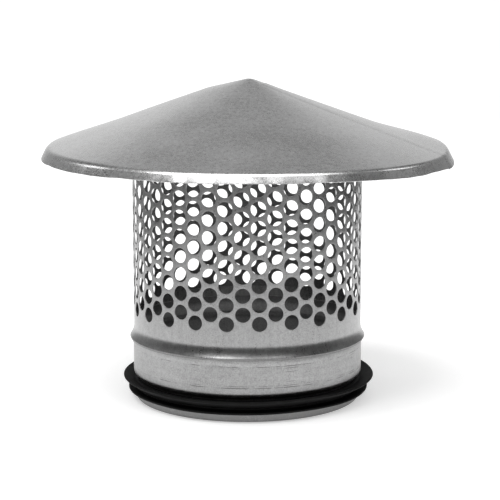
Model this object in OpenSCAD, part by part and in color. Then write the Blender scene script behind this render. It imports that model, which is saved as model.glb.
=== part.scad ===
// Chimney cowl for a round duct.
// A conical rain hat stands on a perforated tube, and the tube on a spun spigot with a stop bead.
// A double-lipped rubber seal sits in a groove near the spigot's foot, clamped by the folded rim.
// Millimetres. The origin is the centre of the foot, on the surface that the cowl stands on.
// The cowl's front is towards -Y, and +Z points up through the hat's tip.

/* [Duct spigot] */
// Bore of the duct that the spigot slips into
duct_d = 160; // [125:1:250]
// Play between the spigot and the duct, across the diameter
duct_play = 0.6; // [0.2:0.1:2]
// Depth that goes into the duct, from the foot to the crest of the stop bead
insert_depth = 42.5; // [36:0.5:80]
// Sheet of the spigot
spigot_sheet = 0.6; // [0.4:0.1:0.9]
// How far the stop bead stands out past the spigot's wall
bead_out = 1.9; // [1.2:0.1:3]
// Height of the bead's slope under its crest
bead_fall = 5; // [3.5:0.5:8]
// Height of the bead's rise over its crest
bead_rise = 8.5; // [7:0.5:12]
// Length of the plain neck that stands up inside the mesh tube
neck_h = 4; // [2:0.5:5]

/* [Foot and seal] */
// Depth of the groove that the seal lies in, from the spigot's wall
groove_depth = 4.1; // [3.2:0.1:5]
// Height of the groove's roof over the foot
groove_top = 14; // [13:0.5:16]
// Height of the folded rim that clamps the seal
hem_h = 5.6; // [4.5:0.1:7]
// Thickness of the seal's band, where the fold clamps it
seal_band = 1.8; // [1.4:0.1:2.2]
// How far the long lip stands out past the spigot's wall
long_lip_out = 7.7; // [5:0.1:10]
// How far the short lip stands out past the spigot's wall
short_lip_out = 2.9; // [1.5:0.1:4.5]
// Thickness of both lips at their tips
lip_tip = 0.9; // [0.6:0.1:1.2]

/* [Mesh tube] */
// Sheet of the perforated tube
mesh_sheet = 0.6; // [0.4:0.1:0.9]
// How far the tube's wall lies inside the spigot's, at their outsides
mesh_inset = 0.5; // [0.2:0.1:1.5]
// Bore of the holes
hole_d = 10; // [6:0.5:11]
// Distance between neighbouring holes of the staggered pattern
hole_pitch = 12.5; // [12:0.5:20]
// Plain band of sheet between the bead's rise and the lowest holes
plain_band = 9.5; // [6:0.5:25]
// Least plain band of sheet over the highest holes
top_band = 6; // [4:0.5:20]
// Width of the lap where the sheet's two ends meet
mesh_lap = 9; // [6:0.5:14]
// Direction of the tube's lap, turning from the front towards +X
mesh_lap_at = 173.6; // [0:0.1:360]
// Number of tabs that carry the hat
tab_count = 6; // [3:1:10]
// Width of each tab
tab_w = 16; // [10:1:24]
// Length of each tab, out along the underside of the hat
tab_len = 11; // [7:0.5:18]

/* [Hat] */
// Diameter of the hat over its rim
hat_d = 280; // [240:1:380]
// Slope of the hat
hat_slope = 19; // [14:0.5:28]
// Sheet of the hat
hat_sheet = 0.6; // [0.4:0.1:1]
// Height of the hat's lower edge over the crest of the stop bead
eave_h = 125; // [100:0.5:180]
// Height of the rim that is turned down
rim_drop = 5.5; // [4:0.5:12]
// Radius of the bend between the slope and the rim, at the middle of the sheet
rim_bend = 1.8; // [1:0.1:2.5]
// Radius that the tip is rounded to, at the middle of the sheet
tip_round = 12; // [4:0.5:20]
// Width of the lap that closes the cone
hat_lap = 10; // [6:0.5:16]
// Direction of the hat's lap, turning from the front towards +X
hat_lap_at = 73.5; // [0:0.5:360]

/* [Fit] */
// Clearance between sheets that lie on each other
seat = 0.05; // [0.02:0.01:0.1]

/* [Hidden] */

ROUND_FN = 128;
HOLE_FN = 24;
ARC_STEPS = 6;
TIP_STEPS = 3;
LIP_STEPS = 4;
front = -90;
STEEL = "silver";
RUBBER = "#1a1a1a";

// Spigot, foot and seal
spigot_r = (duct_d - duct_play) / 2;
spigot_c = spigot_r - spigot_sheet / 2;
crest_z = insert_depth;
groove_c = spigot_c - groove_depth;
groove_r = groove_c + spigot_sheet / 2;
hem_c = groove_c + seal_band + spigot_sheet;
hem_ratio = 0.3;
hem_corner = (hem_c - groove_c) * hem_ratio;
shoulder_turn = 75;
shoulder_r = groove_depth / 2 / (1 - cos(shoulder_turn));
shoulder_h = 2 * shoulder_r * sin(shoulder_turn);

band_in = groove_r + seat;
band_out = groove_r + seal_band - seat;
band_foot = spigot_sheet + hem_corner;
hem_cover = 0.9;
body_r = hem_c + spigot_sheet / 2 + hem_cover;
seal_play = 0.3;
short_rise = 1.4;
short_root = 2.8;
short_lean = 8;
long_rise = 1.2;
long_root = 4.4;
long_lean = 28;
long_edge = 1.2;

// Mesh tube
mesh_r = spigot_r - mesh_inset;
mesh_c = mesh_r - mesh_sheet / 2;
sheet_step = (mesh_sheet + spigot_sheet) / 2 + seat;
neck_c = mesh_c - sheet_step;
bead_c = spigot_c + bead_out;
rise_top = crest_z + bead_rise;
curl_ratio = 0.6;
column_gap = hole_pitch * cos(30);
column_pairs = round(PI * mesh_c / column_gap);
columns = 2 * column_pairs;
column_step = 360 / columns;
first_row = rise_top + plain_band + hole_d / 2;
hole_cut = 8 * mesh_sheet;

// Hat
hat_r = hat_d / 2;
hat_c = hat_r - hat_sheet / 2;
eave_z = crest_z + eave_h;
rim_z = eave_z + rim_drop - hat_sheet / 2;
bend_turn = 90 - hat_slope;
cone_foot = [hat_c - rim_bend * (1 - sin(hat_slope)), rim_z - rim_bend * (1 - cos(hat_slope))];
tip_foot = [tip_round * sin(hat_slope), cone_foot[1] + (cone_foot[0] - tip_round * sin(hat_slope)) * tan(hat_slope)];
tip_z = tip_foot[1] + tip_round * (1 - cos(hat_slope));
lap_start = 5;

// A lap reaches from the middle of the sheet under it to its own outside, in sheets
lap_span = 1.5;

// Heights along the cone, at the middle of a sheet that lies below the hat's own by drop
function cone_z(r, drop) = cone_foot[1] + (cone_foot[0] - r) * tan(hat_slope) - drop / cos(hat_slope);
mesh_top = cone_z(mesh_r, hat_sheet / 2 + seat);
last_row = mesh_top - top_band - hole_d / 2;

// Points of an arc about a centre, from one direction to another
function arc(centre, r, from, to, steps = ARC_STEPS) = [
    for (i = [0:steps])
        let (a = from + (to - from) * i / steps)
        centre + r * [cos(a), sin(a)]
];

// The unit normal on the left of the way from one point to the next
function left_of(a, b) = let (d = (b - a) / norm(b - a)) [-d[1], d[0]];

// The normal at a point of a path, long enough to keep the sheet's thickness round a corner
function mitre(path, i) =
    let (
        last = len(path) - 1,
        before = i == 0 ? left_of(path[0], path[1]) : left_of(path[i - 1], path[i]),
        after = i == last ? before : left_of(path[i], path[i + 1]),
        sum = before + after
    )
    2 * sum / (sum * sum);

// A path moved sideways, to its left, where a point on the axis stays on it
function beside(path, gap) = [
    for (i = [0:len(path) - 1])
        let (p = path[i] + gap * mitre(path, i))
        [path[i][0] == 0 ? 0 : p[0], p[1]]
];

function reversed(path) = [for (i = [len(path) - 1:-1:0]) path[i]];

// The outline of a sheet that follows a path
function sheet(path, thick) = concat(beside(path, thick / 2), reversed(beside(path, -thick / 2)));

// A round sheet, from the path of its half section
module spun(path, thick, turn = 360) {
    rotate_extrude(angle = turn, $fn = ROUND_FN)
        polygon(sheet(path, thick));
}

// A second sheet that lies on the left side of a round one
module lapped(path, thick, turn = 360) {
    spun(beside(path, lap_span / 2 * thick), lap_span * thick, turn);
}

// The hat's half section, from the tip out and down to the lower edge
hat_path = concat(
    arc([0, tip_z - tip_round], tip_round, 90, 90 - hat_slope, TIP_STEPS),
    arc(cone_foot - rim_bend * [sin(hat_slope), cos(hat_slope)], rim_bend, 90 - hat_slope, 0),
    [[hat_c, eave_z]]
);

// The bead's rise, from the neck down to its crest: it leaves the wall gently and ends steep
rise_path = [
    for (i = [0:ARC_STEPS])
        let (t = i / ARC_STEPS)
        [neck_c + (bead_c - neck_c) * t * t * (1 + curl_ratio * (1 - t)), rise_top - bead_rise * t]
];

// The bead's slope under its crest, back to the spigot's wall
fall_path = [
    for (i = [1:ARC_STEPS])
        let (t = i / ARC_STEPS)
        [bead_c - (bead_c - spigot_c) * sin(90 * t), crest_z - bead_fall * t]
];

// The shoulder that leads from the spigot's wall in to the seal's groove
shoulder_path = concat(
    arc([spigot_c - shoulder_r, groove_top + shoulder_h], shoulder_r, 0, -shoulder_turn),
    arc([groove_c + shoulder_r, groove_top], shoulder_r, 180 - shoulder_turn, 180)
);

// The fold at the foot, round under the seal's band and up its outside
hem_path = concat(
    arc([groove_c + hem_corner, spigot_sheet / 2 + hem_corner], hem_corner, 180, 270),
    arc([hem_c - hem_corner, spigot_sheet / 2 + hem_corner], hem_corner, 270, 360),
    [[hem_c, hem_h]]
);

module hat() {
    color(STEEL) {
        union() {
            spun(hat_path, hat_sheet);
            // The lap lies on the cone and goes over the rim
            intersection() {
                lapped(hat_path, hat_sheet);
                rotate(front + hat_lap_at)
                    translate([lap_start, -hat_lap / 2, 0])
                        cube([hat_d, hat_lap, tip_z + hat_d]);
            }
        }
    }
}

// The columns start beside the lap, and every second one half a pitch higher
module mesh_holes() {
    for (i = [0:columns - 1])
        for (z = [first_row + (i % 2) * hole_pitch / 2:hole_pitch:last_row])
            rotate(front + mesh_lap_at + (i + 0.5) * column_step)
                translate([mesh_c, 0, z])
                    rotate([0, 90, 0])
                        cylinder(h = hole_cut, d = hole_d, center = true, $fn = HOLE_FN);
}

// Tabs bent out from the tube's top edge, to lie along the underside of the hat
module tabs() {
    tab_drop = hat_sheet / 2 + seat + mesh_sheet / 2;
    tab_end = mesh_c + tab_len * cos(hat_slope);
    turn = tab_w / mesh_c * 180 / PI;
    for (i = [0:tab_count - 1])
        rotate(360 * i / tab_count - turn / 2)
            spun([[mesh_c, cone_z(mesh_c, tab_drop)], [tab_end, cone_z(tab_end, tab_drop)]], mesh_sheet, turn);
}

module mesh_tube() {
    skirt_path = beside(rise_path, sheet_step);
    wall_path = concat([[mesh_c, mesh_top]], skirt_path);
    lap_path = concat([[mesh_c, mesh_top - 2 * mesh_sheet]], skirt_path);
    lap_turn = mesh_lap / mesh_c * 180 / PI;
    color(STEEL)
        difference() {
            union() {
                spun(wall_path, mesh_sheet);
                rotate(front + mesh_lap_at - lap_turn / 2)
                    lapped(lap_path, mesh_sheet, lap_turn);
                tabs();
            }
            mesh_holes();
        }
}

module spigot() {
    path = concat([[neck_c, rise_top + neck_h]], rise_path, fall_path, shoulder_path, hem_path);
    color(STEEL)
        spun(path, spigot_sheet);
}

// The round end of a lip, turned up by an angle
function lip_end(tip, lean) = arc(tip, lip_tip / 2, lean - 90, lean + 90, LIP_STEPS);

// The seal's section: a band in the fold, a body in the groove, and two lips that trail upwards
seal_outline = concat(
    [
        [band_in, band_foot],
        [band_out, band_foot],
        [band_out, hem_h + seat],
        [body_r, hem_h + seat]
    ],
    lip_end([spigot_r + short_lip_out - lip_tip / 2, hem_h + short_rise], short_lean),
    [
        [body_r, hem_h + short_root],
        [body_r, groove_top - long_root]
    ],
    lip_end([spigot_r + long_lip_out - lip_tip / 2, groove_top + long_rise], long_lean),
    [
        [body_r, groove_top - long_edge],
        [band_out, groove_top - seal_play],
        [band_in, groove_top - seal_play]
    ]
);

module lip_seal() {
    color(RUBBER)
        rotate_extrude($fn = ROUND_FN)
            polygon(seal_outline);
}

hat();
mesh_tube();
spigot();
lip_seal();
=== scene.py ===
"""A galvanised chimney cowl: a rain hat on a perforated tube, over a beaded spigot with a lip seal.

Everything is in metres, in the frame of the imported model: the origin is the centre of the foot, +Z
points up through the hat's tip, and the front, as photographed, faces -Y. Directions round the cowl
are angles from the front, turning towards +X.
"""

import logging
import math
from collections.abc import Sequence
from dataclasses import dataclass
from enum import Enum

import bmesh
import bpy
import numpy as np
from mathutils import Euler, Matrix, Vector


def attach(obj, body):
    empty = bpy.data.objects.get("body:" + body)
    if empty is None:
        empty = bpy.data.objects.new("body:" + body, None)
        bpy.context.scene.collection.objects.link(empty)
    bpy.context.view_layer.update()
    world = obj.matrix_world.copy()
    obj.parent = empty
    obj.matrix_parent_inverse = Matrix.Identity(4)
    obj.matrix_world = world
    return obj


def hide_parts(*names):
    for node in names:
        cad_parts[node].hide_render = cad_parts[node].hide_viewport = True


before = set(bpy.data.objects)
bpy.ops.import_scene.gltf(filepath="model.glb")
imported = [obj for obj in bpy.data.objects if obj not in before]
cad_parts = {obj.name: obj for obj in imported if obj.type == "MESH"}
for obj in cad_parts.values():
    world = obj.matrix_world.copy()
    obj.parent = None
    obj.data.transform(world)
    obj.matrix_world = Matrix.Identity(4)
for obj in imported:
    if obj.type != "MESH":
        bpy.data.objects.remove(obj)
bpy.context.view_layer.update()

log = logging.getLogger("cowl")

MM = 0.001
BODY = "root"
FRONT = -math.pi / 2

# The spigot's lines round it: height and half width in millimetres, and how much of each is missing.
SCORE_AND_SHADOW_LINES = (
    # The first, with nothing missing, is a painted shadow line in the gap under the bead's crest; the rest
    # are scored.
    (42.0, 0.6, -0.3),
    (37.3, 0.4, 0.44),
    (35.9, 0.3, 0.50),
    (33.4, 0.25, 0.52),
    (27.0, 0.25, 0.54),
    (24.4, 0.3, 0.46),
    (23.2, 0.4, 0.40),
)

Path2D = np.ndarray


def arc(centre: tuple[float, float], radius: float, start: float, end: float, steps: int) -> Path2D:
    """Points of an arc in a half section.

    Args:
        centre: Its centre, as radius and height.
        radius: Its radius.
        start: The first point's direction, in degrees.
        end: The last point's direction, in degrees.
        steps: How many steps the points take from one to the other.

    Returns:
        The points, one a row.
    """
    turn = np.radians(np.linspace(start, end, steps + 1))
    return np.column_stack([centre[0] + radius * np.cos(turn), centre[1] + radius * np.sin(turn)])


def beside(path: Path2D, gap: float) -> Path2D:
    """Moves a path sideways to its left, keeping the gap round its corners.

    Args:
        path: The points of the path. One on the axis stays on it.
        gap: How far it moves.

    Returns:
        The moved points.
    """
    way = np.diff(path, axis=0)
    way /= np.linalg.norm(way, axis=1, keepdims=True)
    left = np.column_stack([-way[:, 1], way[:, 0]])
    both = np.vstack([left[:1], left]) + np.vstack([left, left[-1:]])
    moved = path + gap * 2 * both / (both ** 2).sum(axis=1, keepdims=True)
    moved[path[:, 0] == 0, 0] = 0
    return moved


def finer(path: Path2D, longest: float, hold: float) -> Path2D:
    """Divides a path's long stretches, with a short step beside each corner to hold its shape.

    Args:
        path: The points of the path.
        longest: The longest step that stays.
        hold: The step beside a corner.

    Returns:
        The path with its added points.
    """
    points = [path[0]]
    for a, b in zip(path[:-1], path[1:]):
        length = float(np.linalg.norm(b - a))
        if length > 3 * hold:
            inner = np.linspace(hold, length - hold, max(1, math.ceil((length - 2 * hold) / longest)) + 1)
            points.extend(a + (b - a) * s / length for s in inner)
        points.append(b)
    return np.array(points)


def sheet_section(path: Path2D, thick: float, steps: int = 3) -> Path2D:
    """The outline of a sheet that follows a path, with rounded edges off the axis.

    Args:
        path: The path of the sheet's middle.
        thick: The sheet's thickness.
        steps: How many steps round each free edge.

    Returns:
        The outline, from the first point's left side round to its right.
    """
    def edge(end: np.ndarray, before: np.ndarray) -> Path2D:
        """The half round that closes the sheet at one end."""
        run = end - before
        way = math.degrees(math.atan2(*run[::-1]))
        centre = tuple(end - run / np.linalg.norm(run) * thick / 2)
        return arc(centre, thick / 2, way + 90, way - 90, steps * 2)

    left, right = beside(path, thick / 2), beside(path, -thick / 2)[::-1]
    parts = [left[:-1], edge(path[-1], path[-2]), right[1:]]
    if path[0, 0] > 0:
        parts = [left[1:-1], edge(path[-1], path[-2]), right[1:-1], edge(path[0], path[1])]
    return np.vstack(parts)


@dataclass(frozen=True)
class Ripple:
    """A smooth unevenness round a ring, the same each run."""

    height: float
    waves: tuple[int, int]
    seed: int

    def __call__(self, turn: np.ndarray) -> np.ndarray:
        """The height at each angle."""
        draw = np.random.default_rng(self.seed)
        counts = np.arange(self.waves[0], self.waves[1] + 1)
        parts = draw.normal(size=len(counts)) / math.sqrt(len(counts))
        starts = draw.uniform(0, 2 * math.pi, len(counts))
        return self.height * sum(p * np.cos(k * turn + s) for k, p, s in zip(counts, parts, starts))


def smooth(value: np.ndarray, low: float, high: float) -> np.ndarray:
    """A smooth step from 0 at one value to 1 at another, in either order."""
    t = np.clip((value - low) / (high - low), 0, 1)
    return t * t * (3 - 2 * t)


def smooth_turn(turn: np.ndarray, low: float, high: float) -> np.ndarray:
    """A smooth step over angles, from one to another that are given in degrees."""
    return smooth(turn, math.radians(low), math.radians(high))


def wrapped(turn: np.ndarray) -> np.ndarray:
    """An angle as its turn from the front, to the right above zero and to the left below it."""
    return (turn + math.pi) % (2 * math.pi) - math.pi


def turned(points: Path2D, turn: float | np.ndarray) -> np.ndarray:
    """Points of a half section in space, at an angle round the axis from the front."""
    way = np.asarray(turn) + FRONT
    r, z = points[..., 0], points[..., 1]
    return np.stack([r * np.cos(way), r * np.sin(way), z + 0 * way], axis=-1)


@dataclass(frozen=True)
class Lean:
    """How the hat sits: a little low at the front and at the right, as hand-bent tabs leave it."""

    forward: float = 0.034
    right: float = 0.008

    def __call__(self, points: np.ndarray, share: float | np.ndarray = 1.0) -> np.ndarray:
        """Leans points in space, each by a share of the whole."""
        points[..., 2] += share * (points[..., 1] * self.forward - points[..., 0] * self.right)
        return points


class MeshMaker:
    """Collects grids of points and makes one object of them."""

    MERGE = 1e-7

    def __init__(self) -> None:
        """Starts with nothing."""
        self.points: list[np.ndarray] = []
        self.faces: list[np.ndarray] = []
        self.looks: list[np.ndarray] = []
        self.count = 0

    def grid(
        self, rows: np.ndarray, around: bool = False, closed: bool = False, look: Sequence[int] | int = 0
    ) -> None:
        """Adds a grid of quads.

        Args:
            rows: Points, as rows by columns by 3.
            around: Whether each row closes on itself.
            closed: Whether the last row joins the first.
            look: The material's number, for all faces or for each row of them.
        """
        m, n = rows.shape[:2]
        index = np.arange(m * n).reshape(m, n) + self.count
        if around:
            index = np.hstack([index, index[:, :1]])
        if closed:
            index = np.vstack([index, index[:1]])
        quads = np.stack([index[:-1, :-1], index[:-1, 1:], index[1:, 1:], index[1:, :-1]], axis=-1)
        looks = np.broadcast_to(np.asarray(look).reshape(-1, 1), quads.shape[:2])
        self.points.append(rows.reshape(-1, 3))
        self.faces.append(quads.reshape(-1, 4))
        self.looks.append(looks.reshape(-1))
        self.count += m * n

    def make(self, name: str, finishes: Sequence[bpy.types.Material]) -> bpy.types.Object:
        """Makes the object, smooth, with shared points merged and its faces turned outwards.

        Args:
            name: The piece's name.
            finishes: Its materials, in the order of their numbers.

        Returns:
            The object, linked to the scene.
        """
        mesh = bpy.data.meshes.new(name)
        mesh.from_pydata(np.vstack(self.points), [], np.vstack(self.faces).tolist())
        mesh.polygons.foreach_set("material_index", np.concatenate(self.looks).astype(np.int32))
        work = bmesh.new()
        work.from_mesh(mesh)
        bmesh.ops.remove_doubles(work, verts=work.verts, dist=self.MERGE)
        bmesh.ops.dissolve_degenerate(work, edges=work.edges, dist=self.MERGE)
        bmesh.ops.recalc_face_normals(work, faces=work.faces)
        work.to_mesh(mesh)
        work.free()
        mesh.shade_smooth()
        for finish in finishes:
            mesh.materials.append(finish)
        piece = bpy.data.objects.new(name, mesh)
        bpy.context.scene.collection.objects.link(piece)
        weighted = piece.modifiers.new("weighted normals", "WEIGHTED_NORMAL")
        weighted.mode = "FACE_AREA"
        weighted.weight = 100
        return piece


class Signal:
    """A value that varies over a surface: a shader socket that takes Python's operators."""

    def __init__(self, graph: "Graph", socket: bpy.types.NodeSocket) -> None:
        """Wraps a socket of a graph."""
        self.graph = graph
        self.socket = socket

    @property
    def is_vector(self) -> bool:
        """Whether it carries a vector or a colour."""
        return self.socket.type in {"VECTOR", "RGBA"}

    def _with(self, operation: str, *others: "Signal | float | Sequence[float]") -> "Signal":
        """One Math node, or one Vector Math node where any operand is a vector."""
        vector = self.is_vector or any(isinstance(o, Signal) and o.is_vector for o in others)
        kind = "ShaderNodeVectorMath" if vector else "ShaderNodeMath"
        operands = {}
        for i, value in enumerate((self, *others)):
            flat = vector and isinstance(value, (int, float))
            operands[i] = (value, value, value) if flat else value
        return self.graph.node(kind, {"operation": operation}, operands)

    def __add__(self, other: "Signal | float") -> "Signal":
        """Sum."""
        return self._with("ADD", other)

    __radd__ = __add__

    def __mul__(self, other: "Signal | float | Sequence[float]") -> "Signal":
        """Product."""
        return self._with("MULTIPLY", other)

    def __sub__(self, other: "Signal | float") -> "Signal":
        """Difference."""
        return self._with("SUBTRACT", other)

    def __rsub__(self, other: float) -> "Signal":
        """Difference from a number."""
        return (self * -1.0) + other

    def __abs__(self) -> "Signal":
        """Size without sign."""
        return self._with("ABSOLUTE")

    def at_least(self, low: float) -> "Signal":
        """The larger of it and a number."""
        return self._with("MAXIMUM", low)

    def step(self, low: float, high: float) -> "Signal":
        """A smooth step from 0 at one value to 1 at another."""
        return self.graph.node(
            "ShaderNodeMapRange",
            {"interpolation_type": "SMOOTHSTEP"},
            {"Value": self, "From Min": low, "From Max": high, "To Min": 0.0, "To Max": 1.0},
        )

    def band(self, centre: float, half: float) -> "Signal":
        """1 where it equals the centre, falling smoothly to 0 at the half width on both sides."""
        return 1.0 - abs(self - centre).step(0.0, half)


class Graph:
    """The node tree of one material or world."""

    def __init__(self, tree: bpy.types.NodeTree) -> None:
        """Wraps a tree and empties it."""
        self.tree = tree
        tree.nodes.clear()

    def node(
        self, kind: str, settings: dict[str, object], inputs: dict[str | int, object], out: int | str = 0
    ) -> Signal:
        """Adds a node.

        Args:
            kind: The node's type.
            settings: Its own settings, which are set first.
            inputs: A value or a Signal for each socket, by name or number.
            out: Which of its outputs to return, by name, or by number among those in use.

        Returns:
            The output as a Signal.
        """
        made = self.tree.nodes.new(kind)
        for name, value in settings.items():
            setattr(made, name, value)
        for key, value in inputs.items():
            socket = made.inputs[key]
            if isinstance(value, Signal):
                self.tree.links.new(value.socket, socket)
            else:
                socket.default_value = value
        if not made.outputs:
            return Signal(self, made.inputs[0])
        outputs = [o for o in made.outputs if o.enabled] if isinstance(out, int) else made.outputs
        return Signal(self, outputs[out])

    def place(self) -> Signal:
        """The place on the surface, in metres in the shared frame."""
        return self.node("ShaderNodeTexCoord", {}, {}, "Object")

    def along(self, vector: Signal, axis: int) -> Signal:
        """One part of a vector: 0, 1 or 2 for x, y or z."""
        return self.node("ShaderNodeSeparateXYZ", {}, {0: vector}, axis)

    def noise(self, place: Signal, size: float, detail: float = 2.0, rough: float = 0.5) -> Signal:
        """Noise from 0 to 1, whose spots are about a size across.

        Args:
            place: Where to look it up.
            size: How wide its spots are, in metres.
            detail: How many finer layers it has.
            rough: How strong the finer layers are.

        Returns:
            The noise.
        """
        inputs = {"Vector": place, "Scale": 1 / size, "Detail": detail, "Roughness": rough}
        return self.node("ShaderNodeTexNoise", {}, inputs)

    def colours(self, factor: Signal, low: Sequence[float], high: Sequence[float]) -> Signal:
        """A mix of two colours by a factor."""
        return self.node(
            "ShaderNodeMix", {"data_type": "RGBA"}, {"Factor": factor, 6: (*low, 1.0), 7: (*high, 1.0)}
        )

    def bump(self, height: Signal, distance: float, strength: float) -> Signal:
        """The normal of a surface raised by a height, times a distance in metres."""
        return self.node("ShaderNodeBump", {}, {"Height": height, "Distance": distance, "Strength": strength})

    def surface(self, inputs: dict[str | int, object]) -> None:
        """Ends a material's tree with one Principled shader and its inputs."""
        shader = self.node("ShaderNodeBsdfPrincipled", {}, inputs)
        self.node("ShaderNodeOutputMaterial", {}, {"Surface": shader})


def grey(tone: float, warmth: float = 0.0) -> tuple[float, float, float]:
    """A grey of a given tone, cool below zero warmth and warm above it."""
    return (tone * (1 + warmth), tone, tone * (1 - warmth))


def new_material(name: str) -> tuple[bpy.types.Material, Graph]:
    """A material with an empty node tree."""
    material = bpy.data.materials.new(name)
    material.use_nodes = True
    return material, Graph(material.node_tree)


class Grain(Enum):
    """Which way the marks of rolling and drawing run in a sheet."""

    NONE = (1.0, 1.0, 1.0)
    UPRIGHT = (1.0, 1.0, 0.12)
    ROUND = (0.14, 0.14, 1.0)


@dataclass(frozen=True)
class Galvanised:
    """Zinc-coated sheet: dull metal with a fine mottle, faint marks and soft clouds of sheen.

    Attributes:
        name: The material's name.
        tone: The tone of its grey.
        grain: Which way its marks run.
        roughness: Its mean roughness.
        mottle: How much its tone varies.
        marks: How deep the marks along the grain are, as a share of the relief.
        score_and_shadow_lines: Scored lines and painted shadow lines: the height, the half width and how much
            is missing.
        darker_below: The height under which its colour is darker.
        relief: How high its finest unevenness is.
    """

    name: str
    tone: float
    grain: Grain
    roughness: float
    mottle: float
    marks: float = 0.5
    score_and_shadow_lines: tuple[tuple[float, float, float], ...] = ()
    darker_below: float = -1.0
    relief: float = 0.03 * MM

    def build(self) -> bpy.types.Material:
        """Makes the material."""
        material, g = new_material(self.name)
        place = g.place()
        run = place * self.grain.value
        fine = g.noise(place, 0.9 * MM, 3.0, 0.7)
        spots = g.noise(place, 3.2 * MM, 2.0, 0.55)
        streaks = g.noise(run, 2.4 * MM, 2.0, 0.5)
        clouds = g.noise(place, 38 * MM, 2.0, 0.5)
        shade = (fine - 0.5) * 1.5 + (spots - 0.5) * 0.45 + (streaks - 0.5) * 0.5 + (clouds - 0.5) * 0.5
        lines = self._lines(g, place)
        foot = g.along(place, 2).step(self.darker_below + 1.0 * MM, self.darker_below - 0.5 * MM)
        tint = (shade * self.mottle * 4.0 - lines * 0.9 - foot * 0.6 + 0.55).at_least(0.0)
        rough = (clouds - 0.5) * 0.10 + (streaks - 0.5) * 0.12 + (fine - 0.5) * 0.10
        rough = rough + lines * 0.1 + self.roughness
        height = fine * 0.5 + streaks * self.marks + spots * 0.4 - lines * 3.0
        g.surface({
            "Base Color": g.colours(tint, grey(self.tone * 0.6, 0.004), grey(self.tone * 1.3, -0.002)),
            "Metallic": 1.0,
            "Roughness": rough.at_least(0.08),
            "Normal": g.bump(height, self.relief, 0.5),
        })
        return material

    def _lines(self, g: Graph, place: Signal) -> Signal:
        """Lines round the sheet at given heights: scored lines with gaps, and painted shadow lines without
        gaps.
        """
        height = g.along(place, 2)
        broken = g.noise(place * (1.0, 1.0, 0.1), 14 * MM, 2.0, 0.6)
        total: Signal | float = 0.0
        waver = height + (g.noise(place, 30 * MM, 1.0) - 0.5) * (0.5 * MM)
        # A line with nothing missing is a painted shadow line, as under the spigot's bead.
        for level, half, gaps in self.score_and_shadow_lines:
            total = total + waver.band(level, half) * broken.step(gaps, gaps + 0.16)
        return total if isinstance(total, Signal) else broken * 0.0


@dataclass(frozen=True)
class CutEdge:
    """The bare sheet at the edge of a punched hole, brighter than its faces."""

    name: str
    tone: float

    def build(self) -> bpy.types.Material:
        """Makes the material."""
        material, g = new_material(self.name)
        burr = g.noise(g.place(), 0.5 * MM, 2.0, 0.6)
        g.surface({
            "Base Color": g.colours(burr, grey(self.tone * 0.8), grey(self.tone * 1.1)),
            "Metallic": 1.0,
            "Roughness": burr * 0.2 + 0.26,
        })
        return material


@dataclass(frozen=True)
class Rubber:
    """Matt black rubber, a little dusty, with a faint skin from the mould."""

    name: str
    tone: float

    def build(self) -> bpy.types.Material:
        """Makes the material."""
        material, g = new_material(self.name)
        place = g.place()
        skin = g.noise(place, 1.1 * MM, 3.0, 0.6)
        dust = g.noise(place * (1.0, 1.0, 0.4), 9 * MM, 3.0, 0.6)
        g.surface({
            "Base Color": g.colours(dust.step(0.35, 0.8), grey(self.tone * 0.8), grey(self.tone * 1.6)),
            "Roughness": (dust - 0.5) * 0.2 + (skin - 0.5) * 0.15 + 0.68,
            "Specular IOR Level": 0.14,
            "Normal": g.bump(skin, 0.02 * MM, 0.4),
        })
        return material


@dataclass(frozen=True)
class PaleFloor:
    """The plain pale surface that the cowl stands on, lit a little from within against hard shadows."""

    name: str
    tone: float
    glow: float

    def build(self) -> bpy.types.Material:
        """Makes the material."""
        material, g = new_material(self.name)
        g.surface({
            "Base Color": (*grey(self.tone), 1.0),
            "Roughness": 0.9,
            "Specular IOR Level": 0.1,
            "Emission Color": (1.0, 1.0, 1.0, 1.0),
            "Emission Strength": self.glow,
        })
        return material


def seat_piece(piece: bpy.types.Object, node: str) -> None:
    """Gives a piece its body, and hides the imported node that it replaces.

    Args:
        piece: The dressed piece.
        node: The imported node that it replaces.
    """
    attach(piece, BODY)
    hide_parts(node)
    log.info("%s: %d faces, in place of %s", piece.name, len(piece.data.polygons), node)


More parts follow.
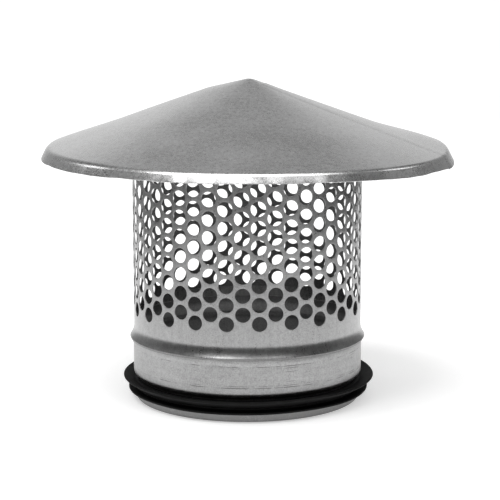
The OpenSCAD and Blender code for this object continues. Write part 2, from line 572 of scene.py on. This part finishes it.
@dataclass
class Spigot:
    """The spun tube that goes into the duct, from its neck down to the folded foot."""

    wall_r: float = 79.7 * MM
    sheet: float = 0.6 * MM
    crest_z: float = 42.5 * MM
    bead_out: float = 1.9 * MM
    bead_fall: float = 5 * MM
    bead_rise: float = 8.5 * MM
    neck_h: float = 4 * MM
    groove_depth: float = 4.1 * MM
    groove_top: float = 14 * MM
    hem_h: float = 5.6 * MM
    seal_band: float = 1.8 * MM
    mesh_step: float = 0.65 * MM
    mesh_inset: float = 0.5 * MM
    shoulder_turn: float = 75.0
    around: int = 384
    waver: Ripple = Ripple(0.10 * MM, (3, 14), 4)
    waver_from: tuple[float, float] = (6 * MM, 26 * MM)
    waver_to: tuple[float, float] = (62 * MM, 48 * MM)
    dent_at: float = math.radians(-15.5)
    dent_width: float = math.radians(6.5)
    dent_height: float = 4 * MM
    dent_depth: float = 0.7 * MM

    @property
    def middle_r(self) -> float:
        """Radius of the middle of the wall's sheet."""
        return self.wall_r - self.sheet / 2

    @property
    def neck_r(self) -> float:
        """Radius of the middle of the neck's sheet."""
        return self.wall_r - self.mesh_inset - self.sheet / 2 - self.mesh_step

    @property
    def bead_r(self) -> float:
        """Radius of the middle of the sheet at the bead's crest."""
        return self.middle_r + self.bead_out

    @property
    def groove_r(self) -> float:
        """Radius of the middle of the sheet in the seal's groove."""
        return self.middle_r - self.groove_depth

    @property
    def hem_r(self) -> float:
        """Radius of the middle of the fold's outer leaf."""
        return self.groove_r + self.seal_band + self.sheet

    def rise_path(self, steps: int = 12) -> Path2D:
        """The bead's rise, from the neck down to its crest."""
        t = np.linspace(0, 1, steps + 1)
        reach = self.bead_r - self.neck_r
        rise_top = self.crest_z + self.bead_rise
        return np.column_stack([self.neck_r + reach * t * t * (1.2 - 0.2 * t), rise_top - self.bead_rise * t])

    def path(self) -> Path2D:
        """The middle of the sheet, from the neck's top edge to the fold's."""
        t = np.linspace(0, 1, 13)[1:]
        fall = np.column_stack(
            [self.bead_r - self.bead_out * np.sin(t * math.pi / 2), self.crest_z - self.bead_fall * t]
        )
        turn = math.radians(self.shoulder_turn)
        bend = self.groove_depth / 2 / (1 - math.cos(turn))
        shoulder_z = self.groove_top + 2 * bend * math.sin(turn)
        corner = (self.hem_r - self.groove_r) * 0.3
        foot_z = self.sheet / 2 + corner
        top = [[self.neck_r, self.crest_z + self.bead_rise + self.neck_h]]
        return np.vstack([
            top,
            self.rise_path(),
            fall,
            arc((self.middle_r - bend, shoulder_z), bend, 0, -self.shoulder_turn, 10),
            arc((self.groove_r + bend, self.groove_top), bend, 180 - self.shoulder_turn, 180, 10)[1:],
            arc((self.groove_r + corner, foot_z), corner, 180, 270, 6),
            arc((self.hem_r - corner, foot_z), corner, 270, 360, 6),
            [[self.hem_r, self.hem_h]],
        ])

    def dented(self, section: np.ndarray, turn: np.ndarray) -> np.ndarray:
        """A section's points at each angle, uneven round the wall and dented at the bead.

        Args:
            section: Points as radius and height.
            turn: The angles round the axis.

        Returns:
            Points as section by angle by 2.
        """
        ring = np.repeat(section[:, None, :], len(turn), axis=1)
        z = ring[..., 1]
        free = smooth(z, *self.waver_from) * smooth(z, *self.waver_to)
        ring[..., 0] += self.waver(turn)[None, :] * free
        off = wrapped(turn - self.dent_at)
        dent = np.exp(-(off / self.dent_width * 2) ** 2)[None, :]
        dent = dent * np.exp(-((z - self.crest_z) / self.dent_height) ** 2)
        ring[..., 0] -= self.dent_depth * dent
        return ring

    def build(self, finish: bpy.types.Material, painted_shade_inside: bpy.types.Material) -> bpy.types.Object:
        """Makes the spigot.

        Args:
            finish: The sheet's material.
            painted_shade_inside: The material of the wall's inner face, the sheet at a lower tone as painted
                shade.

        Returns:
            The spigot.
        """
        turn = np.linspace(0, 2 * math.pi, self.around, endpoint=False)
        path = finer(self.path(), 2.5 * MM, 0.3 * MM)
        section = sheet_section(path, self.sheet)
        # After the outer side and the free edge, the section goes down the fold and up the wall's inner face.
        first, last = len(path) + 5, 2 * len(path) + 3
        lowest = first + int(np.argmin(section[first:last, 1]))
        look = np.zeros(len(section), dtype=int)
        # The inner face takes the darker material, which is painted shade.
        look[lowest:last] = 1
        maker = MeshMaker()
        maker.grid(turned(self.dented(section, turn), turn[None, :]), around=True, closed=True, look=look)
        return maker.make("duct_spigot", [finish, painted_shade_inside])


@dataclass
class MeshTube:
    """The perforated tube, with its lap, the skirt over the bead and the tabs under the hat.

    The rows of holes climb a little round it, and stand a little higher at its back than at its front.
    """

    spigot: Spigot
    sheet: float = 0.6 * MM
    hole_r: float = 5 * MM
    pitch: float = 12.5 * MM
    plain_band: float = 9.5 * MM
    top_band: float = 6 * MM
    top_z: float = 192.8 * MM
    lap_at: float = math.radians(173.6)
    lap_half: float = 4.5 * MM
    edge_round: float = 0.14 * MM
    side_steps: int = 8
    across_steps: int = 6
    tab_count: int = 6
    tab_w: float = 16 * MM
    tab_len: float = 11 * MM
    tab_drop: float = 0.5 * MM
    hat_slope: float = 19.0
    skew: float = math.radians(0.65)
    skew_z: float = 120 * MM
    back_rise: float = 3.0 * MM
    back_turn: float = math.radians(1.0)
    back_stretch: float = 0.03
    back_from: tuple[float, float] = (math.radians(85), math.radians(35))
    climb_from: tuple[float, float] = (50 * MM, 60 * MM)
    climb_to: tuple[float, float] = (192 * MM, 183 * MM)
    waver: Ripple = Ripple(0.10 * MM, (2, 12), 9)
    waver_from: tuple[float, float] = (50 * MM, 80 * MM)
    waver_to: tuple[float, float] = (190 * MM, 165 * MM)
    waver_per_m: float = 40
    lap_step: float = 0.8 * MM
    lean: Lean = Lean()
    lean_from: tuple[float, float] = (172 * MM, 190 * MM)

    @property
    def outer_r(self) -> float:
        """Radius of the tube's outside."""
        return self.spigot.wall_r - self.spigot.mesh_inset

    @property
    def columns(self) -> int:
        """How many columns of holes go round the tube, always even."""
        return 2 * round(math.pi * (self.outer_r - self.sheet / 2) / (self.pitch * math.cos(math.pi / 6)))

    @property
    def first_row(self) -> float:
        """Height of the centres of the lowest holes."""
        return self.spigot.crest_z + self.spigot.bead_rise + self.plain_band + self.hole_r

    def _shaped(self, points: np.ndarray) -> np.ndarray:
        """Lays out points of the unrolled sheet round the tube.

        Args:
            points: The angle from the front, the height, and the depth below the outside.

        Returns:
            Points in space.
        """
        turn, z, depth = points[..., 0], points[..., 1], points[..., 2]
        past = wrapped(turn + math.pi)
        share = smooth(np.abs(past), *self.back_from)
        climb = self.back_rise * share + self.skew * self.outer_r * np.sin(turn)
        turn = turn + share * (self.back_turn + self.back_stretch * past)
        turn = turn - self.skew * (z - self.skew_z) / self.outer_r
        z = z + climb * smooth(z, *self.climb_from) * smooth(z, *self.climb_to)
        away = np.abs(wrapped(turn - self.lap_at)) * self.outer_r
        lap = smooth(away, self.lap_half + self.lap_step, self.lap_half - self.lap_step)
        free = smooth(z, *self.waver_from) * smooth(z, *self.waver_to)
        waver = self.waver(turn) * (0.6 + 0.4 * np.sin(z * self.waver_per_m)) * free
        r = self.outer_r - depth + lap * self.sheet * (1 - depth / self.sheet) + waver
        placed = turned(np.stack([r, z], axis=-1), turn)
        return self.lean(placed, smooth(placed[..., 2], *self.lean_from))

    def _cell(self, maker: MeshMaker, turn: float, z: float) -> None:
        """Adds the sheet round one hole: both faces, the rounded edges and the hole's wall."""
        half_w = math.pi * self.outer_r / self.columns
        half_h = self.pitch / 2
        up = np.linspace(-1, 1, self.side_steps + 1)[:-1]
        over = np.linspace(1, -1, self.across_steps + 1)[:-1]
        box = np.vstack([
            np.column_stack([np.full_like(up, half_w), up * half_h]),
            np.column_stack([over * half_w, np.full_like(over, half_h)]),
            np.column_stack([np.full_like(up, -half_w), -up * half_h]),
            np.column_stack([-over * half_w, np.full_like(over, -half_h)]),
        ])
        quarter = math.pi / 4
        way = np.concatenate([
            up * quarter,
            2 * quarter - over * quarter,
            4 * quarter + up * quarter,
            6 * quarter - over * quarter,
        ])
        round_ = np.column_stack([np.cos(way), np.sin(way)])
        b, t = self.edge_round, self.sheet
        rings = [
            (box, 0.0),
            (round_ * (self.hole_r + b), 0.0),
            (round_ * (self.hole_r + 0.29 * b), 0.29 * b),
            (round_ * self.hole_r, b),
            (round_ * self.hole_r, t - b / 2),
            (round_ * (self.hole_r + b / 2), t),
            (box, t),
        ]
        rows = np.array([
            np.column_stack([turn + ring[:, 0] / self.outer_r, z + ring[:, 1], np.full(len(ring), depth)])
            for ring, depth in rings
        ])
        # The last rows, the inner face, take the painted-shade material.
        maker.grid(self._shaped(rows), around=True, look=[0, 0, 1, 1, 1, 2])

    def _plain(self, maker: MeshMaker, turn: float, low: float, high: float) -> None:
        """Adds a plain stretch of one column, both faces."""
        steps = round((high - low) / (self.pitch / self.side_steps))
        if steps < 1:
            return
        half = math.pi / self.columns
        across = turn + np.linspace(-half, half, self.across_steps + 1)
        # The inner face takes the painted-shade material.
        for depth, look in ((0.0, 0), (self.sheet, 2)):
            z, way = np.meshgrid(np.linspace(low, high, steps + 1), across, indexing="ij")
            maker.grid(self._shaped(np.stack([way, z, np.full_like(z, depth)], axis=-1)), look=look)

    def _ends(self, maker: MeshMaker, low: float, high: float) -> None:
        """Adds the ring over the holes, and the wall and skirt under them.

        Args:
            maker: What collects the mesh.
            low: Where the lowest holes' cells end.
            high: Where the highest holes' cells end.
        """
        count = self.columns * self.across_steps
        turn = self.lap_at + np.arange(count) * 2 * math.pi / count
        middle = self.outer_r - self.sheet / 2
        # Both sections start a metre past the cells, so that their own ends are cut off with the rest.
        top = sheet_section(np.array([[middle, high - 1], [middle, self.top_z]]), self.sheet)
        top = np.vstack([[self.outer_r, high], top[(top[:, 1] > high)], [self.outer_r - self.sheet, high]])
        skirt = beside(self.spigot.rise_path(), self.spigot.mesh_step)
        foot = sheet_section(finer(np.vstack([[middle, low + 1], skirt]), 2 * MM, 0.3 * MM), self.sheet)
        foot = np.vstack([[self.outer_r, low], foot[foot[:, 1] < low], [self.outer_r - self.sheet, low]])
        for section in (top, foot):
            depth = np.clip(self.outer_r - section[:, 0], 0, self.sheet)
            flare = section[:, 0] - (self.outer_r - depth)
            rows = np.array([
                self._shaped(np.column_stack([turn, np.full_like(turn, z), np.full_like(turn, d)]))
                for z, d in zip(section[:, 1], depth)
            ])
            way = (turn + FRONT)[None, :]
            rows[..., 0] += flare[:, None] * np.cos(way)
            rows[..., 1] += flare[:, None] * np.sin(way)
            maker.grid(rows, around=True)

    def _tabs(self, maker: MeshMaker) -> None:
        """Adds the tabs that lie along the underside of the hat."""
        slope = math.radians(self.hat_slope)
        start = self.outer_r - 0.5 * self.sheet
        reach = self.tab_len * math.cos(slope)
        top = self.top_z - self.tab_drop
        path = np.array([[start, top], [start + reach, top - reach * math.tan(slope)]])
        section = sheet_section(finer(path, 2 * MM, 0.3 * MM), self.sheet)
        section[:, 1] -= self.sheet / 2
        half = self.tab_w / 2 / self.outer_r
        for i in range(self.tab_count):
            centre = math.pi / 2 + 2 * math.pi * i / self.tab_count
            turn = centre + np.linspace(-half, half, 9)
            rows = self.lean(turned(np.repeat(section[:, None, :], len(turn), axis=1), turn[None, :]))
            maker.grid(rows, closed=True)
            for edge in (rows[:, 0], rows[:, -1]):
                half_count = (len(edge) + 1) // 2
                back = edge[::-1][:half_count]
                maker.grid(np.stack([edge[:half_count], back]))

    def build(
        self, finish: bpy.types.Material, cut: bpy.types.Material, painted_shade_inside: bpy.types.Material
    ) -> bpy.types.Object:
        """Makes the tube.

        Args:
            finish: The sheet's material.
            cut: The material of the holes' walls.
            painted_shade_inside: The material of the sheet's inner face, at a lower tone as painted shade.

        Returns:
            The tube.
        """
        maker = MeshMaker()
        half = self.pitch / 2
        low = self.first_row - half
        last = self.top_z - self.top_band - self.hole_r
        high = self.first_row + half + self.pitch * int((last - self.first_row) / self.pitch)
        for i in range(self.columns):
            turn = self.lap_at + (i + 0.5) * 2 * math.pi / self.columns
            z = self.first_row + (i % 2) * half
            self._plain(maker, turn, low, z - half)
            while z <= last:
                self._cell(maker, turn, z)
                z += self.pitch
            self._plain(maker, turn, z - half, high)
        self._ends(maker, low, high)
        self._tabs(maker)
        return maker.make("perforated_tube", [finish, cut, painted_shade_inside])


@dataclass
class LipSeal:
    """The rubber ring in the groove, with its two lips, the long one a little further out at the right."""

    spigot: Spigot
    seat: float = 0.05 * MM
    long_out: float = 8.0 * MM
    long_lean: float = 28
    short_out: float = 4.2 * MM
    short_lean: float = 8
    right_out: float = 0.7 * MM
    tip: float = 1.6 * MM
    around: int = 320
    waver: Ripple = Ripple(0.16 * MM, (2, 9), 21)

    def outline(self) -> Path2D:
        """The seal's half section."""
        s = self.spigot
        band_in = s.groove_r + s.sheet / 2 + self.seat
        band_out = band_in + s.seal_band - 2 * self.seat
        body = s.hem_r + s.sheet / 2 + 0.9 * MM
        foot = s.sheet + (s.hem_r - s.groove_r) * 0.3
        hem = s.hem_h + self.seat
        top = s.groove_top

        def lip(out: float, z: float, lean: float) -> Path2D:
            """The round end of a lip."""
            return arc((s.wall_r + out - self.tip / 2, z), self.tip / 2, lean - 90, lean + 90, 6)

        return np.vstack([
            [[band_in, foot], [band_out, foot], [band_out, hem], [body, hem]],
            lip(self.short_out, s.hem_h + 1.4 * MM, self.short_lean),
            [[body, s.hem_h + 2.8 * MM], [body, top - 4.4 * MM]],
            lip(self.long_out, top + 1.2 * MM, self.long_lean),
            [[body, top - 1.2 * MM], [band_out, top - 0.3 * MM], [band_in, top - 0.3 * MM], [band_in, foot]],
        ])

    def build(self, finish: bpy.types.Material) -> bpy.types.Object:
        """Makes the seal."""
        turn = np.linspace(0, 2 * math.pi, self.around, endpoint=False)
        section = finer(self.outline(), 1.5 * MM, 0.15 * MM)[:-1]
        ring = np.repeat(section[:, None, :], len(turn), axis=1)
        reach = smooth(ring[..., 0], self.spigot.wall_r, self.spigot.wall_r + self.long_out)
        ring[..., 1] += self.waver(turn)[None, :] * reach * 1.5
        ring[..., 0] += (self.waver(turn + 1) * 0.5 + np.sin(turn) * self.right_out)[None, :] * reach
        maker = MeshMaker()
        maker.grid(turned(ring, turn[None, :]), around=True, closed=True)
        return maker.make("rubber_lip_seal", [finish])


@dataclass
class RainHat:
    """The conical hat, with its turned-down rim and the lap that closes it.

    It bulges a little at the left, and its rim hangs deeper and its shoulder stands higher at the sides.
    """

    radius: float = 139.9 * MM
    sheet: float = 0.6 * MM
    slope: float = 19.0
    eave_z: float = 168.2 * MM
    rim_drop: float = 5.8 * MM
    flare: float = 27.5
    crisp_bend: float = 4.0 * MM
    soft_bend: float = 8.0 * MM
    tip_round: float = 9 * MM
    tip_off: float = 1.9 * MM
    lap_at: float = math.radians(73.5)
    lap_w: float = 10 * MM
    bulge: float = 2.9 * MM
    bulge_at: float = math.radians(-112)
    bulge_half: float = math.radians(75)
    bulge_r: float = 29 * MM
    left_shoulder: float = 1.3 * MM
    right_shoulder: float = 2.8 * MM
    side_drop: float = 1.2 * MM
    left_drop: float = 0.5 * MM
    right_drop: float = 2.2 * MM
    around: int = 480
    edge: Ripple = Ripple(0.16 * MM, (5, 60), 12)
    buckle: Ripple = Ripple(0.35 * MM, (2, 7), 31)
    lean: Lean = Lean()

    def path(self, bend: float) -> Path2D:
        """The middle of the sheet, from the tip out to the lower edge.

        Args:
            bend: The radius of the bend at the rim.

        Returns:
            The path.
        """
        slope, flare = math.radians(self.slope), math.radians(self.flare)
        corner_z = self.eave_z + self.rim_drop - self.sheet / 2
        edge_r = self.radius - self.sheet / 2
        corner_r = edge_r - (corner_z - self.eave_z) * math.tan(flare)

        def on_cone(r: float) -> float:
            """Height of the cone's straight line at a radius."""
            return corner_z + (corner_r - r) * math.tan(slope)

        foot_r = corner_r - bend * math.tan((math.pi / 2 - slope - flare) / 2) * math.cos(slope)
        centre = (foot_r - bend * math.sin(slope), on_cone(foot_r) - bend * math.cos(slope))
        tip_r = self.tip_round * math.sin(slope)
        tip_centre = on_cone(tip_r) - self.tip_round * math.cos(slope)
        cone_r = np.linspace(tip_r, foot_r - 6 * MM, 34)[1:]
        rim = arc(centre, bend, 90 - self.slope, self.flare, 10)
        return np.vstack([
            arc((0, tip_centre), self.tip_round, 90, 90 - self.slope, 6),
            np.column_stack([cone_r, [on_cone(r) for r in cone_r]]),
            [[foot_r - 2.5 * MM, on_cone(foot_r - 2.5 * MM)]],
            rim,
            [[(rim[-1, 0] + edge_r) / 2, (rim[-1, 1] + self.eave_z) / 2], [edge_r, self.eave_z]],
        ])

    def _softness(self, turn: np.ndarray) -> np.ndarray:
        """How soft the rim's bend is round the hat: softest at the left and behind the lap."""
        left = smooth_turn(np.abs(wrapped(turn + math.radians(88))), 75, 20)
        right = smooth_turn(np.abs(wrapped(turn - math.radians(112))), 34, 12)
        return np.maximum(left, right)

    def _side(self, turn: np.ndarray, start: float, full: float) -> np.ndarray:
        """A share that grows towards both sides of the hat and goes again towards the back."""
        off = np.abs(wrapped(turn))
        return smooth_turn(off, start, full) * smooth_turn(off, 165, 125)

    def _drop(self, turn: np.ndarray) -> np.ndarray:
        """How much deeper the turned-down rim hangs than at the front."""
        more = np.where(wrapped(turn) > 0, self.right_drop, self.left_drop)
        aside = smooth_turn(np.abs(wrapped(turn)), 22, 50)
        return self.side_drop * aside + more * self._side(turn, 60, 80)

    def _uneven(self, ring: np.ndarray, turn: np.ndarray) -> np.ndarray:
        """Adds the bulge of the cone, its buckles and the ragged edge.

        Args:
            ring: Points as section by angle by 2.
            turn: The angles.

        Returns:
            The moved points.
        """
        r, z = ring[..., 0].copy(), ring[..., 1].copy()
        bend_r = self.radius - 4 * MM
        rise = np.clip(r / self.bulge_r, 0, 1) * np.clip((bend_r - r) / (bend_r - self.bulge_r), 0, 1)
        side = np.cos(np.clip(wrapped(turn - self.bulge_at) / self.bulge_half, -1, 1) * math.pi / 2) ** 2
        ring[..., 1] += self.bulge * rise * side[None, :]
        inner = smooth(r, 10 * MM, 70 * MM)
        ring[..., 1] += self.buckle(turn)[None, :] * inner
        shoulder = np.where(wrapped(turn) > 0, self.right_shoulder, self.left_shoulder)
        shoulder = shoulder * self._side(turn, 72, 100)
        ring[..., 1] += shoulder[None, :] * smooth(r, 85 * MM, 132 * MM)
        low = smooth(z, self.eave_z + 4 * MM, self.eave_z) * smooth(r, self.radius - 7 * MM, bend_r)
        drop = self._drop(turn)[None, :] * low
        ring[..., 1] += self.edge(turn)[None, :] * low - drop
        ring[..., 0] += self.edge(turn + 2)[None, :] * low * 0.6 + drop * math.tan(math.radians(self.flare))
        return ring

    def _placed(self, points: np.ndarray) -> np.ndarray:
        """Points in space with the tip a little off the axis and the whole leaned."""
        away = np.hypot(points[..., 0], points[..., 1])
        points[..., 0] += self.tip_off * smooth(away, 75 * MM, 4 * MM)
        return self.lean(points)

    def build(self, finish: bpy.types.Material) -> bpy.types.Object:
        """Makes the hat."""
        turn = np.linspace(0, 2 * math.pi, self.around, endpoint=False)
        bends = (self.crisp_bend, self.soft_bend)
        crisp, soft = (sheet_section(self.path(bend), self.sheet)[:, None, :] for bend in bends)
        share = self._softness(turn)[None, :, None]
        ring = crisp * (1 - share) + soft * share
        maker = MeshMaker()
        maker.grid(self._placed(turned(self._uneven(ring, turn), turn[None, :])), around=True)
        self._lap(maker)
        return maker.make("rain_hat", [finish])

    def _lap(self, maker: MeshMaker) -> None:
        """Adds the lap: the upper end of the sheet, with its crisp edge on one side only."""
        across = np.array([-9.0, -7.0, -5.0, -2.0, 1.0, 4.0, 4.8, 5.0]) * self.lap_w / 10
        lifts = np.array([-0.3, -0.05, 0.12, 0.25, 0.3, 0.3, 0.2, -0.3]) * MM + self.sheet / 2
        columns = []
        for offset, lift in zip(across, lifts):
            path = beside(self.path(self.crisp_bend), lift)
            path = path[path[:, 0] > 7 * MM]
            turn = self.lap_at + np.arcsin(np.clip(offset / path[:, 0], -1, 1))
            soft = self._uneven(path[:, None, :], np.array([self.lap_at]))[:, 0]
            columns.append(self._placed(turned(soft, turn)))
        maker.grid(np.stack(columns, axis=1))


@dataclass
class Studio:
    """The pale floor, the soft light and the camera.

    The room's light depends on the direction that it comes from: pale behind the cowl, dimmer overhead,
    out at the sides and below the floor's far edge, and low in front. Each pair gives where a change
    starts and where it is complete, as a part of the direction's unit vector.
    """

    PANELS = (
        ("left_panel", (-0.28, -0.36, 1.0), 2.2, 38.0),
        ("right_panel", (0.29, -0.35, 1.0), 0.9, 36.0),
        ("left_fill", (-1.0, 0.4, 0.8), 0.12, 12.0),
        ("right_fill", (1.0, 0.4, 0.8), 0.10, 12.0),
    )

    distance: float = 986 * MM
    eye_height: float = 259.2 * MM
    look_down: float = 9.07
    pan: float = -0.11
    roll: float = -0.05
    lens: float = 103.2
    floor_tone: float = 0.74
    floor_glow: float = 0.50
    floor_front: float = -0.72
    floor_back: float = 8.0
    floor_half: float = 0.65
    horizon: float = 1.05
    backdrop: float = 0.75
    overhead: float = 0.31
    room: float = 0.10
    sides: float = 0.32
    behind_from: tuple[float, float] = (-0.2, 0.5)
    low_to: tuple[float, float] = (0.24, 0.0)
    over_from: tuple[float, float] = (0.47, 0.61)
    sides_from: tuple[float, float] = (0.22, 0.5)
    under_to: tuple[float, float] = (-0.14, -0.07)

    def camera(self) -> None:
        """Makes the camera at the photograph's place."""
        data = bpy.data.cameras.new("camera")
        data.sensor_width = 36.0
        data.lens = self.lens
        data.clip_end = 50.0
        camera = bpy.data.objects.new("camera", data)
        camera.location = (0.0, -self.distance, self.eye_height)
        level = Euler((math.radians(90 - self.look_down), 0.0, math.radians(self.pan))).to_matrix()
        camera.rotation_euler = (level @ Matrix.Rotation(math.radians(self.roll), 3, "Z")).to_euler()
        bpy.context.scene.collection.objects.link(camera)
        bpy.context.scene.camera = camera

    def floor(self) -> None:
        """Makes the floor."""
        maker = MeshMaker()
        across = np.linspace(-self.floor_half, self.floor_half, 3)
        x, y = np.meshgrid(across, np.linspace(self.floor_front, self.floor_back, 3), indexing="ij")
        maker.grid(np.stack([x, y, np.zeros_like(x)], axis=-1))
        floor = maker.make("floor", [PaleFloor("pale_floor", self.floor_tone, self.floor_glow).build()])
        floor.modifiers.clear()

    def sky_panel(
        self, name: str, towards: tuple[float, float, float], strength: float, spread: float
    ) -> None:
        """Makes a wide, far and even light, as from a large panel overhead.

        Args:
            name: Its name.
            towards: The direction from the cowl to the panel.
            strength: How strongly it lights what faces it.
            spread: How wide it looks, in degrees.
        """
        data = bpy.data.lights.new(name, "SUN")
        data.energy = strength
        data.angle = math.radians(spread)
        light = bpy.data.objects.new(name, data)
        light.rotation_euler = Vector(towards).to_track_quat("Z", "Y").to_euler()
        bpy.context.scene.collection.objects.link(light)

    def surroundings(self) -> None:
        """Makes the room's light."""
        world = bpy.data.worlds.new("studio")
        bpy.context.scene.world = world
        world.use_nodes = True
        g = Graph(world.node_tree)
        way = g.node("ShaderNodeTexCoord", {}, {}, "Generated")
        behind = g.along(way, 1).step(*self.behind_from)
        height = g.along(way, 2)
        low = height.step(*self.low_to) * (self.horizon - self.backdrop)
        over = height.step(*self.over_from) * (self.overhead - self.backdrop)
        bright = behind * (over + low + self.backdrop)
        across = g.along(way, 0)
        aside = abs(across).step(*self.sides_from) * (self.sides - 1.0) + 1.0
        bright = bright * aside * height.step(*self.under_to) * (across * -0.2 + 1.0)
        tone = bright + (1.0 - behind) * self.room
        light = g.node("ShaderNodeBackground", {}, {"Color": (1.0, 1.0, 1.0, 1.0), "Strength": tone})
        g.node("ShaderNodeOutputWorld", {}, {"Surface": light})

    def build(self) -> None:
        """Makes the whole studio."""
        self.camera()
        self.floor()
        self.surroundings()
        for panel in self.PANELS:
            self.sky_panel(*panel)
        bpy.context.scene.view_settings.view_transform = "Standard"


def main() -> None:
    """Builds the studio and the cowl's pieces in order."""
    logging.basicConfig(level=logging.INFO, format="%(name)s: %(message)s")
    Studio().build()
    spigot = Spigot()
    tube = MeshTube(spigot)
    # The tube and the spigot are the hat's sheet at half its tone, painted shade for the darker light they
    # reflect.
    sheet = Galvanised("galvanised_mesh", 0.36, Grain.UPRIGHT, roughness=0.30, mottle=0.26)
    # The inner faces: the same sheet at less than half the tone, painted shade for the dark interior of the
    # tube.
    painted_shade_inside = Galvanised("galvanised_painted_shade_inside", 0.16, Grain.UPRIGHT, roughness=0.5, mottle=0.28).build()
    scored = Galvanised(
        "galvanised_spigot",
        0.38,
        Grain.ROUND,
        roughness=0.38,
        mottle=0.28,
        # The scored lines, and the painted shadow line under the bead's crest.
        score_and_shadow_lines=tuple((z * MM, half * MM, gaps) for z, half, gaps in SCORE_AND_SHADOW_LINES),
        darker_below=7 * MM,
    )
    seat_piece(spigot.build(scored.build(), painted_shade_inside), "spigot")
    cut = CutEdge("cut_edge", 0.5).build()
    seat_piece(tube.build(sheet.build(), cut, painted_shade_inside), "mesh_tube")
    seat_piece(LipSeal(spigot).build(Rubber("black_rubber", 0.006).build()), "lip_seal")
    hat = Galvanised("galvanised_hat", 0.72, Grain.NONE, roughness=0.29, mottle=0.24, relief=0.016 * MM)
    seat_piece(RainHat().build(hat.build()), "hat")


if __name__ == "__main__":
    main()
